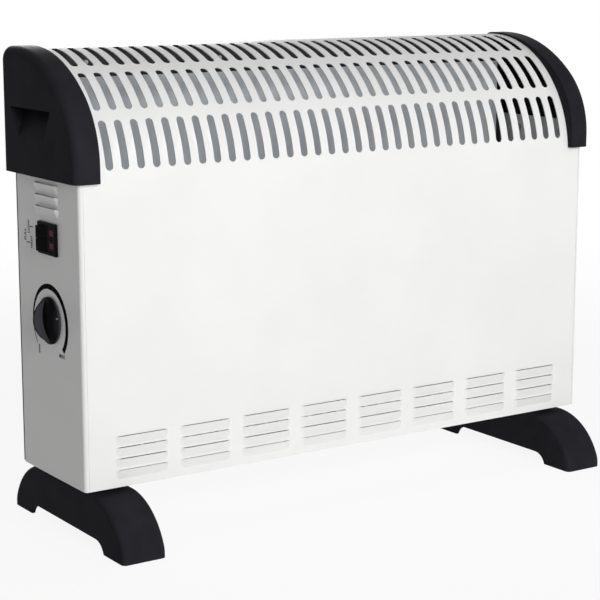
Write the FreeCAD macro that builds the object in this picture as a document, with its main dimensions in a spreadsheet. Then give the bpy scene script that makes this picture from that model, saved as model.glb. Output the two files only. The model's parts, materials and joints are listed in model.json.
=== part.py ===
import FreeCAD, Part
import math
import os
import Sketcher

doc = FreeCAD.newDocument("ConvectorHeater")
sheet = doc.addObject("Spreadsheet::Sheet", "sizes")


class Size:
    """A length or angle with the sheet expression that gives it."""

    def __init__(self, number, text):
        self.number = number
        self.text = text

    def __add__(self, other):
        other = as_size(other)
        return Size(self.number + other.number, "(%s + %s)" % (self.text, other.text))

    def __radd__(self, other):
        return as_size(other) + self

    def __sub__(self, other):
        other = as_size(other)
        return Size(self.number - other.number, "(%s - %s)" % (self.text, other.text))

    def __rsub__(self, other):
        return as_size(other) - self

    def __mul__(self, other):
        other = as_size(other)
        return Size(self.number * other.number, "(%s * %s)" % (self.text, other.text))

    def __rmul__(self, other):
        return as_size(other) * self

    def __truediv__(self, other):
        other = as_size(other)
        return Size(self.number / other.number, "(%s / %s)" % (self.text, other.text))

    def __neg__(self):
        return Size(-self.number, "(0 - %s)" % self.text)


def as_size(value):
    if isinstance(value, Size):
        return value
    return Size(float(value), repr(float(value)))


def root(value):
    return Size(math.sqrt(value.number), "sqrt(%s)" % value.text)


def whole(value):
    """Number of whole steps in the value."""
    return Size(math.floor(value.number), "floor(%s)" % value.text)


def sine(value):
    return Size(math.sin(math.radians(value.number)), "sin(%s * 1 deg)" % value.text)


def cosine(value):
    return Size(math.cos(math.radians(value.number)), "cos(%s * 1 deg)" % value.text)


sizes = {
    "case_width": 518.0,  # over the two side panels
    "case_depth": 114.0,  # front face to rear face
    "case_front": 52.5,  # front face ahead of the feet's centre
    "case_bottom": 49.0,  # underside above the floor
    "case_top": 394.5,  # top of the rolled sheet above the floor
    "sheet": 0.8,  # steel sheet of the case
    "top_flat": 2.2,  # level stretch between the rolled top and the rear bend
    "rear_bend": 3.0,  # outside radius of the bend at the rear top
    "rear_lap": 22.0,  # how far the shell comes down behind
    "corner_radius": 3.5,  # upright front and rear corners
    "corner_clear": 8.0,  # side panel cut away under the end cap
    "tab_width": 14.0,  # side panel's tabs behind the front and rear sheets
    "seam": 0.2,  # gap between neighbouring sheets
    "side_drop": 76.5,  # side panels' top edge below the case's top
    "slot_length": 40.0,
    "slot_width": 6.6,
    "slot_pitch": 14.0,
    "slot_margin": 17.0,  # least distance from the slots to the shell's ends
    "slot_row_low": 19.8,  # middle of each row, degrees up the roll
    "slot_row_step": 26.0,
    "louvre_width": 49.5,
    "louvre_height": 7.6,
    "louvre_depth": 2.7,  # how far a louvre's lip stands out
    "louvre_run": 4.0,  # sloping end of a louvre
    "louvre_pitch": 9.3,
    "louvre_rows": 4.0,
    "louvre_rise": 42.0,  # highest lip of the front louvres above the case's underside
    "group_pitch": 59.3,
    "side_louvre_width": 44.0,
    "side_louvre_drop": 105.0,  # highest lip below the case's top
    "side_louvre_rows": 3.0,
    "side_louvre_place": 4.5,  # centre along the depth
    "base_flange": 15.0,
    "flange_clear": 1.0,  # base plate's flanges clear of the side panels' tabs
    "intake_length": 22.0,
    "intake_width": 8.0,
    "intake_pitch": 16.0,
    "intake_margin": 14.0,  # least distance from the base slots to the feet
    "intake_row": 33.5,  # each row of base slots from the case's middle
    "rear_slot_length": 26.0,
    "rear_slot_pitch": 20.0,
    "rear_slot_margin": 95.0,
    "rear_slot_rise": 51.0,  # middle of the slots above the case's underside
    "rear_top_gap": 5.5,  # rear panel's top edge below the case's top
    "rear_inset": 0.6,  # rear panel inside the case's ends and underside
    "cap_rim": 22.0,  # width of an end cap
    "cap_side_proud": 5.5,
    "cap_front_proud": 5.0,
    "cap_rear_proud": 10.5,
    "cap_top_proud": 1.5,
    "cap_drop": 100.0,  # cap's lower edge below the case's top
    "cap_wall": 3.0,
    "cap_lip": 2.5,  # inward lip at the cap's open edge
    "cap_knee_radius": 76.0,
    "cap_knee_drop": 88.5,  # where the cap's front begins to curve, below the case's top
    "cap_crown_back": 7.0,  # where the cap's top becomes level, ahead of the case's rear
    "cap_corner": 12.0,
    "cap_edge": 7.0,
    "cap_gap": 0.3,  # cap to case
    "grip_drop": 46.5,  # finger recess's upper edge below the case's top
    "grip_height": 23.0,
    "grip_depth": 14.0,
    "grip_width": 72.5,
    "grip_narrow": 47.0,
    "grip_place": 18.7,
    "grip_skin": 2.5,
    "foot_width": 38.8,
    "foot_length": 196.8,
    "foot_inset": 27.4,  # foot's middle inside the case's end
    "pad_rise": 4.0,  # foot's top below the case
    "foot_curve": 56.7,  # radius of the toe's upper side
    "foot_shoulder": 44.8,  # where the toe's curve meets the level top
    "foot_tip_radius": 20.0,
    "foot_arch": 9.5,
    "foot_arch_half": 52.0,
    "foot_arch_radius": 14.0,
    "foot_wall": 3.0,
    "foot_edge": 4.0,
    "pad_width": 32.0,  # raised pad that meets the case
    "pad_length": 72.0,
    "foot_screw_spacing": 50.0,
    "screw_radius": 1.9,
    "screw_head_radius": 3.6,
    "screw_head": 2.2,
    "recess_length": 4.2,  # cross recess in a screw's head
    "recess_width": 1.0,
    "recess_depth": 0.9,
    "screw_past": 3.2,  # screw's tip past the sheet that it holds
    "cap_screw_place": 30.0,
    "cap_screw_drop": 88.5,
    "cap_screw_reach": 4.6,
    "boss_radius": 5.0,
    "switch_length": 32.0,  # bezel along the depth
    "switch_height": 26.0,
    "switch_bezel": 2.6,
    "bezel_soft": 1.0,
    "switch_place": 1.8,
    "switch_drop": 148.5,  # switch's middle below the case's top
    "well_length": 26.6,
    "well_height": 21.0,
    "well_depth": 12.0,
    "switch_body_length": 28.6,
    "switch_body_height": 23.0,
    "switch_body_depth": 19.0,
    "rocker_length": 23.4,
    "rocker_width": 10.0,
    "rocker_end": 6.4,
    "rocker_waist": 4.0,
    "rocker_tilt": 13.0,
    "rocker_pivot": 2.1,  # pin behind the panel's face
    "rocker_skirt": 1.0,
    "rocker_deep": 4.5,
    "rocker_heel": 3.5,
    "rocker_gap": 0.4,
    "pin_radius": 1.0,
    "pin_play": 0.05,
    "lens_length": 7.0,
    "lens_width": 4.6,
    "lens_place": 7.0,
    "lens_low": 2.6,
    "blade_length": 8.0,
    "blade_width": 4.8,
    "blade_thick": 0.8,
    "blade_pitch": 8.5,
    "knob_radius": 19.2,
    "knob_rim": 1.6,
    "knob_gap": 0.6,  # knob clear of the panel
    "knob_dome": 7.6,
    "knob_stand": 15.2,  # crown of the grip above the panel
    "knob_grip": 3.0,  # thickness of the grip
    "knob_lean": 13.0,  # how far the grip leans from upright, degrees
    "knob_place": 2.3,
    "knob_drop": 215.0,  # knob's middle below the case's top
    "knob_bore": 5.2,
    "knob_hollow": 16.0,
    "knob_hollow_depth": 2.3,
    "knob_hub": 5.5,
    "knob_end": 1.5,  # ends of the grip inside the rim
    "knob_soft": 1.0,
    "shaft_radius": 3.0,
    "shaft_hole": 5.0,
    "shaft_depth": 10.0,  # how far the shaft runs into the thermostat
    "shaft_end_gap": 0.4,
    "stat_width": 32.0,
    "stat_height": 38.0,
    "stat_depth": 18.0,
    "stat_plate_thick": 1.2,
    "stat_plate_height": 46.0,
    "stat_plate_width": 24.0,
    "stat_screw_spacing": 24.0,
    "stat_screw_bite": 2.4,  # screw's length in the thermostat
    "stat_screw_head": 1.6,
    "stat_screw_head_radius": 2.9,
    "element_rise": 47.0,  # lower element's middle above the case's underside
    "element_step": 46.0,  # from one element up to the next
    "element_inset": 59.0,  # element's end inside the case's end
    "element_core": 7.0,
    "wing_length": 19.0,
    "wing_thick": 1.8,
    "wing_angle": 45.0,  # degrees
    "rod_radius": 4.0,
    "rod_overhang": 14.0,  # sheathed rod past its bracket
    "rod_pin": 8.0,  # bare end of the rod, for its wire
    "bush_radius": 7.5,
    "bush_length": 9.0,
    "bracket_thick": 1.2,
    "bracket_gap": 6.0,  # element's end to the bracket's middle
    "bracket_above": 30.0,  # bracket's top above the upper element
    "bracket_front_gap": 12.5,  # bracket clear of the case's front
    "bracket_rear_gap": 6.7,  # bracket clear of the heat shield
    "bracket_foot": 12.0,
    "bracket_screw_inset": 12.6,
    "shield_gap": 10.0,
    "shield_drop": 25.5,  # shield's top below the case's top
    "shield_rise": 29.0,  # shield's lower edge above the case's underside
    "shield_inset": 16.0,  # shield's end inside the case's end
    "spacer_radius": 4.0,
    "spacer_margin": 28.0,
    "spacer_rise": 56.0,  # lower spacers above the shield's lower edge
    "cutout_radius": 8.0,
    "cutout_height": 9.0,
    "cutout_flange": 12.0,
    "cutout_blade": 4.5,
    "cutout_above": 21.0,  # above the upper element
    "block_length": 34.0,
    "block_width": 20.0,
    "block_height": 16.0,
    "block_inset": 22.0,  # terminal block's middle inside the case's end
    "block_along": 5.0,
    "block_screw_pitch": 10.0,
    "block_screw_reach": 6.0,
    "gland_radius": 8.0,
    "gland_flange": 11.0,
    "gland_bore": 4.5,
    "gland_lip": 3.0,
    "gland_nut": 4.0,
    "gland_inset": 37.0,  # gland's middle inside the case's end
    "gland_rise": 43.0,  # above the case's underside
    "pin_end_radius": 1.4,  # bare end of an element's rod
    "overrun": 1.0,  # how far a cut runs past the face that it opens
}

named = {}
for row, (name, number) in enumerate(sizes.items(), start=1):
    cell = "A%d" % row
    sheet.set(cell, str(number))
    sheet.setAlias(cell, name)
    named[name] = Size(number, "sizes.%s" % name)
doc.recompute()


def size(name):
    return named[name]


def plane(body, role):
    for feature in body.Origin.OriginFeatures:
        if feature.Role == role:
            return feature
    raise ValueError(role)


def new_body(label):
    body = doc.addObject("PartDesign::Body", label)
    body.Label = label
    return body


def new_sketch(body, name, role, offset=None):
    sketch = body.newObject("Sketcher::SketchObject", name)
    sketch.AttachmentSupport = [(plane(body, role), "")]
    sketch.MapMode = "FlatFace"
    if offset is not None:
        sketch.setExpression("AttachmentOffset.Base.z", as_size(offset).text)
    return sketch


def bind(sketch, kind, *args):
    value = as_size(args[-1])
    index = sketch.addConstraint(Sketcher.Constraint(kind, *args[:-1], value.number))
    sketch.setExpression("Constraints[%d]" % index, value.text)


def outline(sketch, points):
    """Closed outline; a third entry is the centre of the arc that arrives at the point."""
    count = len(points)
    first = sketch.GeometryCount
    spots = []
    for point in points:
        spots.append(FreeCAD.Vector(as_size(point[0]).number, as_size(point[1]).number, 0))
    ends = []
    for index in range(count):
        after = (index + 1) % count
        if len(points[after]) < 3:
            sketch.addGeometry(Part.LineSegment(spots[index], spots[after]), False)
            ends.append((1, 2))
            continue
        hub = points[after][2]
        centre = FreeCAD.Vector(as_size(hub[0]).number, as_size(hub[1]).number, 0)
        arm = spots[index] - centre
        other = spots[after] - centre
        leftward = arm.cross(other).z > 0
        begin, finish = (arm, other) if leftward else (other, arm)
        first_angle = math.atan2(begin.y, begin.x)
        last_angle = math.atan2(finish.y, finish.x)
        ring = Part.Circle(centre, FreeCAD.Vector(0, 0, 1), arm.Length)
        sketch.addGeometry(Part.ArcOfCircle(ring, first_angle, last_angle), False)
        ends.append((1, 2) if leftward else (2, 1))
    for index in range(count):
        after = (index + 1) % count
        here = (first + index, ends[index][1])
        there = (first + after, ends[after][0])
        sketch.addConstraint(Sketcher.Constraint("Coincident", *here, *there))
    for index in range(count):
        after = (index + 1) % count
        bind(sketch, "DistanceX", -1, 1, first + index, ends[index][0], points[index][0])
        bind(sketch, "DistanceY", -1, 1, first + index, ends[index][0], points[index][1])
        if len(points[after]) < 3:
            continue
        chord = spots[after] - spots[index]
        hub = points[after][2]
        if abs(chord.y) >= abs(chord.x):
            bind(sketch, "DistanceX", -1, 1, first + index, 3, hub[0])
        else:
            bind(sketch, "DistanceY", -1, 1, first + index, 3, hub[1])


def rectangle(sketch, left, low, right, high):
    outline(sketch, [(left, low), (right, low), (right, high), (left, high)])


def circle(sketch, across, up, radius):
    place = FreeCAD.Vector(as_size(across).number, as_size(up).number, 0)
    shape = Part.Circle(place, FreeCAD.Vector(0, 0, 1), as_size(radius).number)
    index = sketch.addGeometry(shape, False)
    bind(sketch, "Radius", index, radius)
    bind(sketch, "DistanceX", -1, 1, index, 3, across)
    bind(sketch, "DistanceY", -1, 1, index, 3, up)


def upright_slot(sketch, across, up, length, width):
    """Round-ended slot along the sketch's second axis."""
    across = as_size(across)
    up = as_size(up)
    half = (length - width) / 2
    side = width.number / 2
    normal = FreeCAD.Vector(0, 0, 1)
    high = FreeCAD.Vector(across.number, (up + half).number, 0)
    low = FreeCAD.Vector(across.number, (up - half).number, 0)
    step = FreeCAD.Vector(side, 0, 0)
    upper = sketch.addGeometry(Part.ArcOfCircle(Part.Circle(high, normal, side), 0, math.pi), False)
    left = sketch.addGeometry(Part.LineSegment(high - step, low - step), False)
    arc = Part.ArcOfCircle(Part.Circle(low, normal, side), math.pi, 2 * math.pi)
    lower = sketch.addGeometry(arc, False)
    right = sketch.addGeometry(Part.LineSegment(low + step, high + step), False)
    sketch.addConstraint(Sketcher.Constraint("Tangent", upper, 2, left, 1))
    sketch.addConstraint(Sketcher.Constraint("Tangent", left, 2, lower, 1))
    sketch.addConstraint(Sketcher.Constraint("Tangent", lower, 2, right, 1))
    sketch.addConstraint(Sketcher.Constraint("Tangent", right, 2, upper, 1))
    sketch.addConstraint(Sketcher.Constraint("Equal", upper, lower))
    bind(sketch, "Radius", upper, width / 2)
    bind(sketch, "DistanceX", -1, 1, upper, 3, across)
    bind(sketch, "DistanceY", -1, 1, upper, 3, up + half)
    bind(sketch, "DistanceX", -1, 1, lower, 3, across)
    bind(sketch, "DistanceY", -1, 1, lower, 3, up - half)


def pad(body, sketch, length, reverse=False):
    feature = body.newObject("PartDesign::Pad", sketch.Name + "Pad")
    feature.Profile = sketch
    feature.Reversed = reverse
    feature.setExpression("Length", as_size(length).text)
    return feature


def pocket(body, sketch, length, reverse=False):
    feature = body.newObject("PartDesign::Pocket", sketch.Name + "Pocket")
    feature.Profile = sketch
    feature.Reversed = reverse
    feature.setExpression("Length", as_size(length).text)
    return feature


def repeat(body, originals, axis_sketch, axis, pitch, count):
    feature = body.newObject("PartDesign::LinearPattern", originals[-1].Name + "Row")
    feature.Originals = originals
    feature.Direction = (axis_sketch, [axis])
    feature.setExpression("Length", (pitch * (count - 1)).text)
    feature.setExpression("Occurrences", count.text)
    body.Tip = feature
    return feature


def loft(body, kind, name, sections):
    feature = body.newObject("PartDesign::" + kind, name)
    feature.Profile = sections[0]
    feature.Sections = sections[1:]
    feature.Ruled = True
    return feature


def place(item, across=0.0, along=0.0, up=0.0):
    """Puts a piece in the shared frame, whose origin is under the middle of the whole box."""
    item.setExpression("Placement.Base.x", (frame_shift + across).text)
    item.setExpression("Placement.Base.y", as_size(along).text)
    item.setExpression("Placement.Base.z", as_size(up).text)


def block(name, low, high):
    item = doc.addObject("Part::Box", name)
    for prop, axis, first, last in zip(("Length", "Width", "Height"), "xyz", low, high):
        first = as_size(first)
        item.setExpression(prop, (as_size(last) - first).text)
        item.setExpression("Placement.Base." + axis, first.text)
    return item


turns = {
    "x": FreeCAD.Rotation(FreeCAD.Vector(0, 1, 0), 90),
    "y": FreeCAD.Rotation(FreeCAD.Vector(1, 0, 0), -90),
    "z": FreeCAD.Rotation(),
}


def rod(name, radius, length, start, axis):
    item = doc.addObject("Part::Cylinder", name)
    item.Placement = FreeCAD.Placement(FreeCAD.Vector(), turns[axis])
    item.setExpression("Radius", as_size(radius).text)
    item.setExpression("Height", as_size(length).text)
    for letter, value in zip("xyz", start):
        item.setExpression("Placement.Base." + letter, as_size(value).text)
    return item


def fuse(name, items):
    result = doc.addObject("Part::MultiFuse", name)
    result.Shapes = items
    return result


def cut(name, base, tools):
    tool = tools[0]
    if len(tools) > 1:
        tool = doc.addObject("Part::Compound", name + "Tools")
        tool.Links = tools
    result = doc.addObject("Part::Cut", name)
    result.Base = base
    result.Tool = tool
    return result


def group(label, items):
    result = doc.addObject("Part::Compound", label)
    result.Links = items
    result.Label = label
    return result


def screw(name, point, axis, inward, reach, head, tall):
    """Pan-head screw with a cross recess; point is under the head, inward is the tip's way."""
    radius = size("screw_radius")
    letter = "xyz".index(axis)
    tip = [as_size(value) for value in point]
    top = [as_size(value) for value in point]
    if inward < 0:
        tip[letter] = tip[letter] - reach
    else:
        top[letter] = top[letter] - tall
    shank = rod(name + "Shank", radius, reach, tip, axis)
    cap = rod(name + "Head", head, tall, top, axis)
    bars = []
    for number in range(2):
        low = [as_size(value) for value in top]
        high = [as_size(value) for value in top]
        wide = [index for index in range(3) if index != letter]
        for index in wide:
            half = size("recess_length" if index == wide[number] else "recess_width") / 2
            low[index] = low[index] - half
            high[index] = high[index] + half
        if inward < 0:
            low[letter] = low[letter] + tall - size("recess_depth")
            high[letter] = high[letter] + tall + size("overrun")
        else:
            low[letter] = low[letter] - size("overrun")
            high[letter] = high[letter] + size("recess_depth")
        bars.append(block(name + "Bar%d" % number, low, high))
    return cut(name, fuse(name + "Solid", [shank, cap]), bars)


# Faces of the case that the other pieces are placed from.
half_width = size("case_width") / 2
front = -size("case_front")
rear = front + size("case_depth")
middle = (front + rear) / 2
bottom = size("case_bottom")
top = size("case_top")
sheet_thick = size("sheet")
bend = size("rear_bend")
roll = size("case_depth") - sheet_thick - bend - size("top_flat")
roll_up = top - roll
roll_back = front + roll
inner_rear = rear - sheet_thick
seam = size("seam")
shell_half = half_width - size("corner_radius") - seam
side_top = top - size("side_drop")
cap_low = top - size("cap_drop")
cap_screw_up = top - size("cap_screw_drop")
switch_up = top - size("switch_drop")
knob_up = top - size("knob_drop")
gland_at = size("gland_inset") - half_width
gland_up = bottom + size("gland_rise")
foot_at = half_width - size("foot_inset")
foot_top = bottom - size("pad_rise")
overrun = size("overrun")
through = sheet_thick + overrun
frame_shift = (size("knob_stand") - size("cap_side_proud")) / 2
pieces = []


def keep(item):
    pieces.append(item)
    return item


# Shares of the sheet's thickness: a louvre's root in the sheet, its toe under the face, and its
# mouth's depth behind the face, end above the toe and floor under the face.
hood_root = 0.6
hood_toe = 0.04
mouth_back = 1.2
mouth_end = 2.5
mouth_floor = 0.5


def hood(body, name, lip, low, wide, run, deep, thick, face, outward, axis):
    """One pressed louvre: a hood that stands out at its lip and is open along the top."""
    half = wide[1]
    centre = wide[0]
    skin = thick * hood_root

    def section(tag, level, face_depth, back, inset):
        sketch = new_sketch(body, name + tag, "XY_Plane", level)
        outer = face + outward * face_depth
        base = face - outward * back
        corners = [
            (centre - half + inset, base),
            (centre - half + run + inset, outer),
            (centre + half - run - inset, outer),
            (centre + half - inset, base),
        ]
        if axis == "y":
            corners = [(up, across) for across, up in corners]
        outline(sketch, corners)
        return sketch

    solid = loft(body, "AdditiveLoft", name + "Hood", [
        section("Lip", lip, deep, skin, 0.0),
        section("Toe", low, -thick * hood_toe, skin, 0.0),
    ])
    hollow = loft(body, "SubtractiveLoft", name + "Mouth", [
        section("MouthTop", lip, deep - thick, thick * mouth_back, thick),
        section("MouthLow", low + thick * mouth_end, -thick * mouth_floor, thick * mouth_back, thick),
    ])
    return solid, hollow


# Front shell: one sheet from the front's lower edge over the roll and down behind.
shell = new_body("front_shell")
lap = top - size("rear_lap")
roll_hub = (roll_back, roll_up)
bend_hub = (inner_rear - bend, top - bend)
profile = new_sketch(shell, "ShellProfile", "YZ_Plane", -shell_half)
outline(profile, [
    (front, bottom),
    (front, roll_up),
    (roll_back, top, roll_hub),
    (inner_rear - bend, top),
    (inner_rear, top - bend, bend_hub),
    (inner_rear, lap),
    (inner_rear - sheet_thick, lap),
    (inner_rear - sheet_thick, top - bend),
    (inner_rear - bend, top - sheet_thick, bend_hub),
    (roll_back, top - sheet_thick),
    (front + sheet_thick, roll_up, roll_hub),
    (front + sheet_thick, bottom),
])
pad(shell, profile, shell_half * 2)
room = (shell_half - size("slot_margin")) * 2
slot_count = whole(room / size("slot_pitch"))
slot_first = -(size("slot_pitch") * (slot_count - 1)) / 2
# The cut is as deep as twice the roll's rise over a slot.
slot_deep = through * 2 + size("slot_length") * size("slot_length") / (roll * 4)
for number in range(3):
    angle = size("slot_row_low") + size("slot_row_step") * number
    reach = roll + sheet_thick
    slots = new_sketch(shell, "SlotRow%d" % number, "XZ_Plane")
    tilt = FreeCAD.Rotation(FreeCAD.Vector(1, 0, 0), -angle.number)
    slots.AttachmentOffset = FreeCAD.Placement(FreeCAD.Vector(), tilt)
    slots.setExpression("AttachmentOffset.Rotation.Angle", (-angle).text)
    slots.setExpression("AttachmentOffset.Base.y", (roll_up + reach * sine(angle)).text)
    slots.setExpression("AttachmentOffset.Base.z", (reach * cosine(angle) - roll_back).text)
    upright_slot(slots, slot_first, 0.0, size("slot_length"), size("slot_width"))
    opening = pocket(shell, slots, slot_deep)
    repeat(shell, [opening], slots, "H_Axis", size("slot_pitch"), slot_count)
group_count = whole(room / size("group_pitch"))
group_first = -(size("group_pitch") * (group_count - 1)) / 2
lip = bottom + size("louvre_rise")
louvre = hood(
    shell, "FrontLouvre", lip, lip - size("louvre_height"),
    (group_first, size("louvre_width") / 2), size("louvre_run"), size("louvre_depth"),
    sheet_thick, front, -1, "x",
)
stack = shell.newObject("PartDesign::MultiTransform", "LouvreGroups")
stack.Originals = list(louvre)
down = shell.newObject("PartDesign::LinearPattern", "LouvreStack")
down.Direction = (profile, ["V_Axis"])
down.Reversed = True
down.setExpression("Length", (size("louvre_pitch") * (size("louvre_rows") - 1)).text)
down.setExpression("Occurrences", size("louvre_rows").text)
along = shell.newObject("PartDesign::LinearPattern", "LouvreRow")
along.Direction = (slots, ["H_Axis"])
along.setExpression("Length", (size("group_pitch") * (group_count - 1)).text)
along.setExpression("Occurrences", group_count.text)
stack.Transformations = [down, along]
shell.Tip = stack
place(shell)
keep(shell)


def side_panel(label, side):
    """End sheet with rounded upright corners and a tab behind the front and rear sheets."""
    body = new_body(label)
    radius = size("corner_radius")
    face = side * half_width
    inner = side * (half_width - sheet_thick)
    turn = side * (half_width - radius)
    tab = side * (half_width - radius - size("tab_width"))
    notch = side * (half_width - radius + sheet_thick * 2)
    small = radius - sheet_thick
    dip = root(small * small - sheet_thick * sheet_thick * 4)
    front_hub = (turn, front + radius)
    rear_hub = (turn, inner_rear - radius)
    plan = new_sketch(body, label + "Plan", "XY_Plane", bottom)
    outline(plan, [
        (turn, front),
        (face, front + radius, front_hub),
        (face, inner_rear - radius),
        (turn, inner_rear, rear_hub),
        (tab, inner_rear),
        (tab, inner_rear - sheet_thick),
        (turn, inner_rear - sheet_thick),
        (inner, inner_rear - radius, rear_hub),
        (inner, front + radius),
        (notch, front + radius - dip, front_hub),
        (notch, front + sheet_thick * 2),
        (tab, front + sheet_thick * 2),
        (tab, front + sheet_thick),
        (turn, front + sheet_thick),
    ])
    pad(body, plan, side_top - bottom)
    lip = top - size("side_louvre_drop")
    louvre = hood(
        body, label + "Louvre", lip, lip - size("louvre_height"),
        (size("side_louvre_place"), size("side_louvre_width") / 2), size("louvre_run"),
        size("louvre_depth"), sheet_thick, face, side, "y",
    )
    repeat(body, list(louvre), plan, "N_Axis", size("louvre_pitch"), size("side_louvre_rows"))
    body.Tip.Reversed = True
    straight = new_sketch(body, label + "TabEnd", "XY_Plane", roll_up)
    outline(straight, [
        (tab - overrun * side, front),
        (turn, front),
        (turn, front + sheet_thick * 3),
        (tab - overrun * side, front + sheet_thick * 3),
    ])
    pocket(body, straight, side_top - roll_up, True)
    corner = new_sketch(body, label + "CornerEnd", "XY_Plane", cap_low + overrun)
    outline(corner, [
        (tab - overrun * side, front - overrun),
        (face + overrun * side, front - overrun),
        (face + overrun * side, front + size("corner_clear")),
        (tab - overrun * side, front + size("corner_clear")),
    ])
    pocket(body, corner, side_top - cap_low, True)
    holes = new_sketch(body, label + "Holes", "YZ_Plane", face)
    for step in (-1, 1):
        reach = middle + size("cap_screw_place") * step
        circle(holes, reach, cap_screw_up, size("screw_radius"))
    if side < 0:
        centre = size("switch_place")
        length = size("switch_body_length") / 2 + seam
        tall = size("switch_body_height") / 2 + seam
        rectangle(holes, centre - length, switch_up - tall, centre + length, switch_up + tall)
        circle(holes, size("knob_place"), knob_up, size("shaft_hole"))
        for step in (-1, 1):
            reach = knob_up + size("stat_screw_spacing") / 2 * step
            circle(holes, size("knob_place"), reach, size("screw_radius"))
    pocket(body, holes, through, side < 0)
    place(body)
    return keep(body)


side_panel("left_side_panel", -1)
side_panel("right_side_panel", 1)

# Base plate: a shallow tray that closes the case below and lets the air in.
base = new_body("base_plate")
base_half = half_width - sheet_thick
base_front = front + sheet_thick * 2
base_rear = inner_rear - sheet_thick
nip = size("corner_radius")
floor_plan = new_sketch(base, "BasePlan", "XY_Plane", bottom)
outline(floor_plan, [
    (-base_half, base_front + nip),
    (-base_half + nip, base_front),
    (base_half - nip, base_front),
    (base_half, base_front + nip),
    (base_half, base_rear - nip),
    (base_half - nip, base_rear),
    (-base_half + nip, base_rear),
    (-base_half, base_rear - nip),
])
pad(base, floor_plan, sheet_thick)
flange_half = half_width - size("corner_radius") - size("tab_width") - size("flange_clear")
flanges = new_sketch(base, "BaseFlanges", "XY_Plane", bottom)
rectangle(flanges, -flange_half, front + sheet_thick, flange_half, base_front)
rectangle(flanges, -flange_half, base_rear, flange_half, inner_rear)
pad(base, flanges, size("base_flange"))
intake = new_sketch(base, "BaseSlots", "XY_Plane", bottom)
intake_room = foot_at * 2 - size("foot_width") - size("intake_margin") * 2
intake_count = whole(intake_room / size("intake_pitch"))
intake_first = -(size("intake_pitch") * (intake_count - 1)) / 2
for step in (-1, 1):
    row = middle + size("intake_row") * step
    upright_slot(intake, intake_first, row, size("intake_length"), size("intake_width"))
intake_cut = pocket(base, intake, through, True)
repeat(base, [intake_cut], intake, "H_Axis", size("intake_pitch"), intake_count)
bolt_holes = new_sketch(base, "BaseHoles", "XY_Plane", bottom)
for side in (-1, 1):
    for step in (-1, 1):
        reach = size("foot_screw_spacing") / 2 * step
        circle(bolt_holes, foot_at * side, reach, size("screw_radius"))
pocket(base, bolt_holes, through, True)
place(base)
keep(base)

# Rear panel, screwed to the shell, the side panels and the base plate.
back = new_body("rear_panel")
back_half = half_width - size("rear_inset")
back_sketch = new_sketch(back, "RearSheet", "XZ_Plane", -rear)
back_top = top - size("rear_top_gap")
rectangle(back_sketch, -back_half, bottom + size("rear_inset"), back_half, back_top)
pad(back, back_sketch, sheet_thick)
rear_slots = new_sketch(back, "RearSlots", "XZ_Plane", -rear)
rear_room = (half_width - size("rear_slot_margin")) * 2
rear_count = whole(rear_room / size("rear_slot_pitch"))
rear_first = -(size("rear_slot_pitch") * (rear_count - 1)) / 2
rear_slot_up = bottom + size("rear_slot_rise")
upright_slot(rear_slots, rear_first, rear_slot_up, size("rear_slot_length"), size("slot_width"))
rear_cut = pocket(back, rear_slots, through, True)
repeat(back, [rear_cut], rear_slots, "H_Axis", size("rear_slot_pitch"), rear_count)
tab_middle = half_width - size("corner_radius") - size("tab_width") / 2
# Four screws along the lap, four along the base plate's flange and two down each side panel.
rear_points = []
for step in (-3, -1, 1, 3):
    rear_points.append((half_width / 4 * step, (back_top + lap) / 2))
    rear_points.append((half_width / 4 * step, bottom + size("base_flange") / 2))
for side in (-1, 1):
    for step in (1, 2):
        rear_points.append((tab_middle * side, bottom + (side_top - bottom) / 3 * step))
rear_holes = new_sketch(back, "RearHoles", "XZ_Plane", -rear)
for across, up in rear_points:
    circle(rear_holes, across, up, size("screw_radius"))
circle(rear_holes, gland_at, gland_up, size("gland_radius"))
pocket(back, rear_holes, through, True)
place(back)
keep(back)
casing = []
for number, (across, up) in enumerate(rear_points):
    point = (across, rear, up)
    casing.append(screw(
        "CasingScrew%d" % number, point, "y", -1, sheet_thick * 2 + size("screw_past"),
        size("screw_head_radius"), size("screw_head"),
    ))
place(keep(group("casing_screws", casing)))


def outer_edges(shape, level, lowest):
    """Names of the edges that lie in the plane X = level and rise above the lowest height."""
    names = []
    for index, edge in enumerate(shape.Edges, start=1):
        box = edge.BoundBox
        flat = abs(box.XMin - level) < 1e-4 and abs(box.XMax - level) < 1e-4
        if flat and box.ZMax > lowest + 1e-4:
            names.append("Edge%d" % index)
    return names


cap_front = front - size("cap_front_proud")
cap_rear = rear + size("cap_rear_proud")
cap_top = top + size("cap_top_proud")
cap_out = half_width + size("cap_side_proud")
cap_open = cap_out - size("cap_rim")
knee = size("cap_knee_radius")
knee_up = top - size("cap_knee_drop")
crown_back = rear - size("cap_crown_back")
rise = cap_top - knee_up
drift = crown_back - cap_front - knee
crown = (drift * drift + rise * rise - knee * knee) / ((rise - knee) * 2)
knee_hub = (cap_front + knee, knee_up)
crown_hub = (crown_back, cap_top - crown)


def cap_points(inset, low):
    """Side outline of an end cap, drawn in by the inset."""
    radius = knee - inset
    spread = crown - knee
    corner = size("cap_corner")
    hub = (cap_rear - corner, cap_top - corner)
    return [
        (cap_front + inset, low),
        (cap_front + inset, knee_up),
        (knee_hub[0] - radius * drift / spread, knee_up + radius * (crown - rise) / spread, knee_hub),
        (crown_back, cap_top - inset, crown_hub),
        (cap_rear - corner, cap_top - inset),
        (cap_rear - inset, cap_top - corner, hub),
        (cap_rear - inset, low),
    ]


def grip_section(body, name, level, shallow, deep, half, side):
    sketch = new_sketch(body, name, "XY_Plane", level)
    centre = size("grip_place")
    outline(sketch, [
        (side * shallow, centre - half),
        (side * deep, centre - half),
        (side * deep, centre + half),
        (side * shallow, centre + half),
    ])
    return sketch


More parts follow.
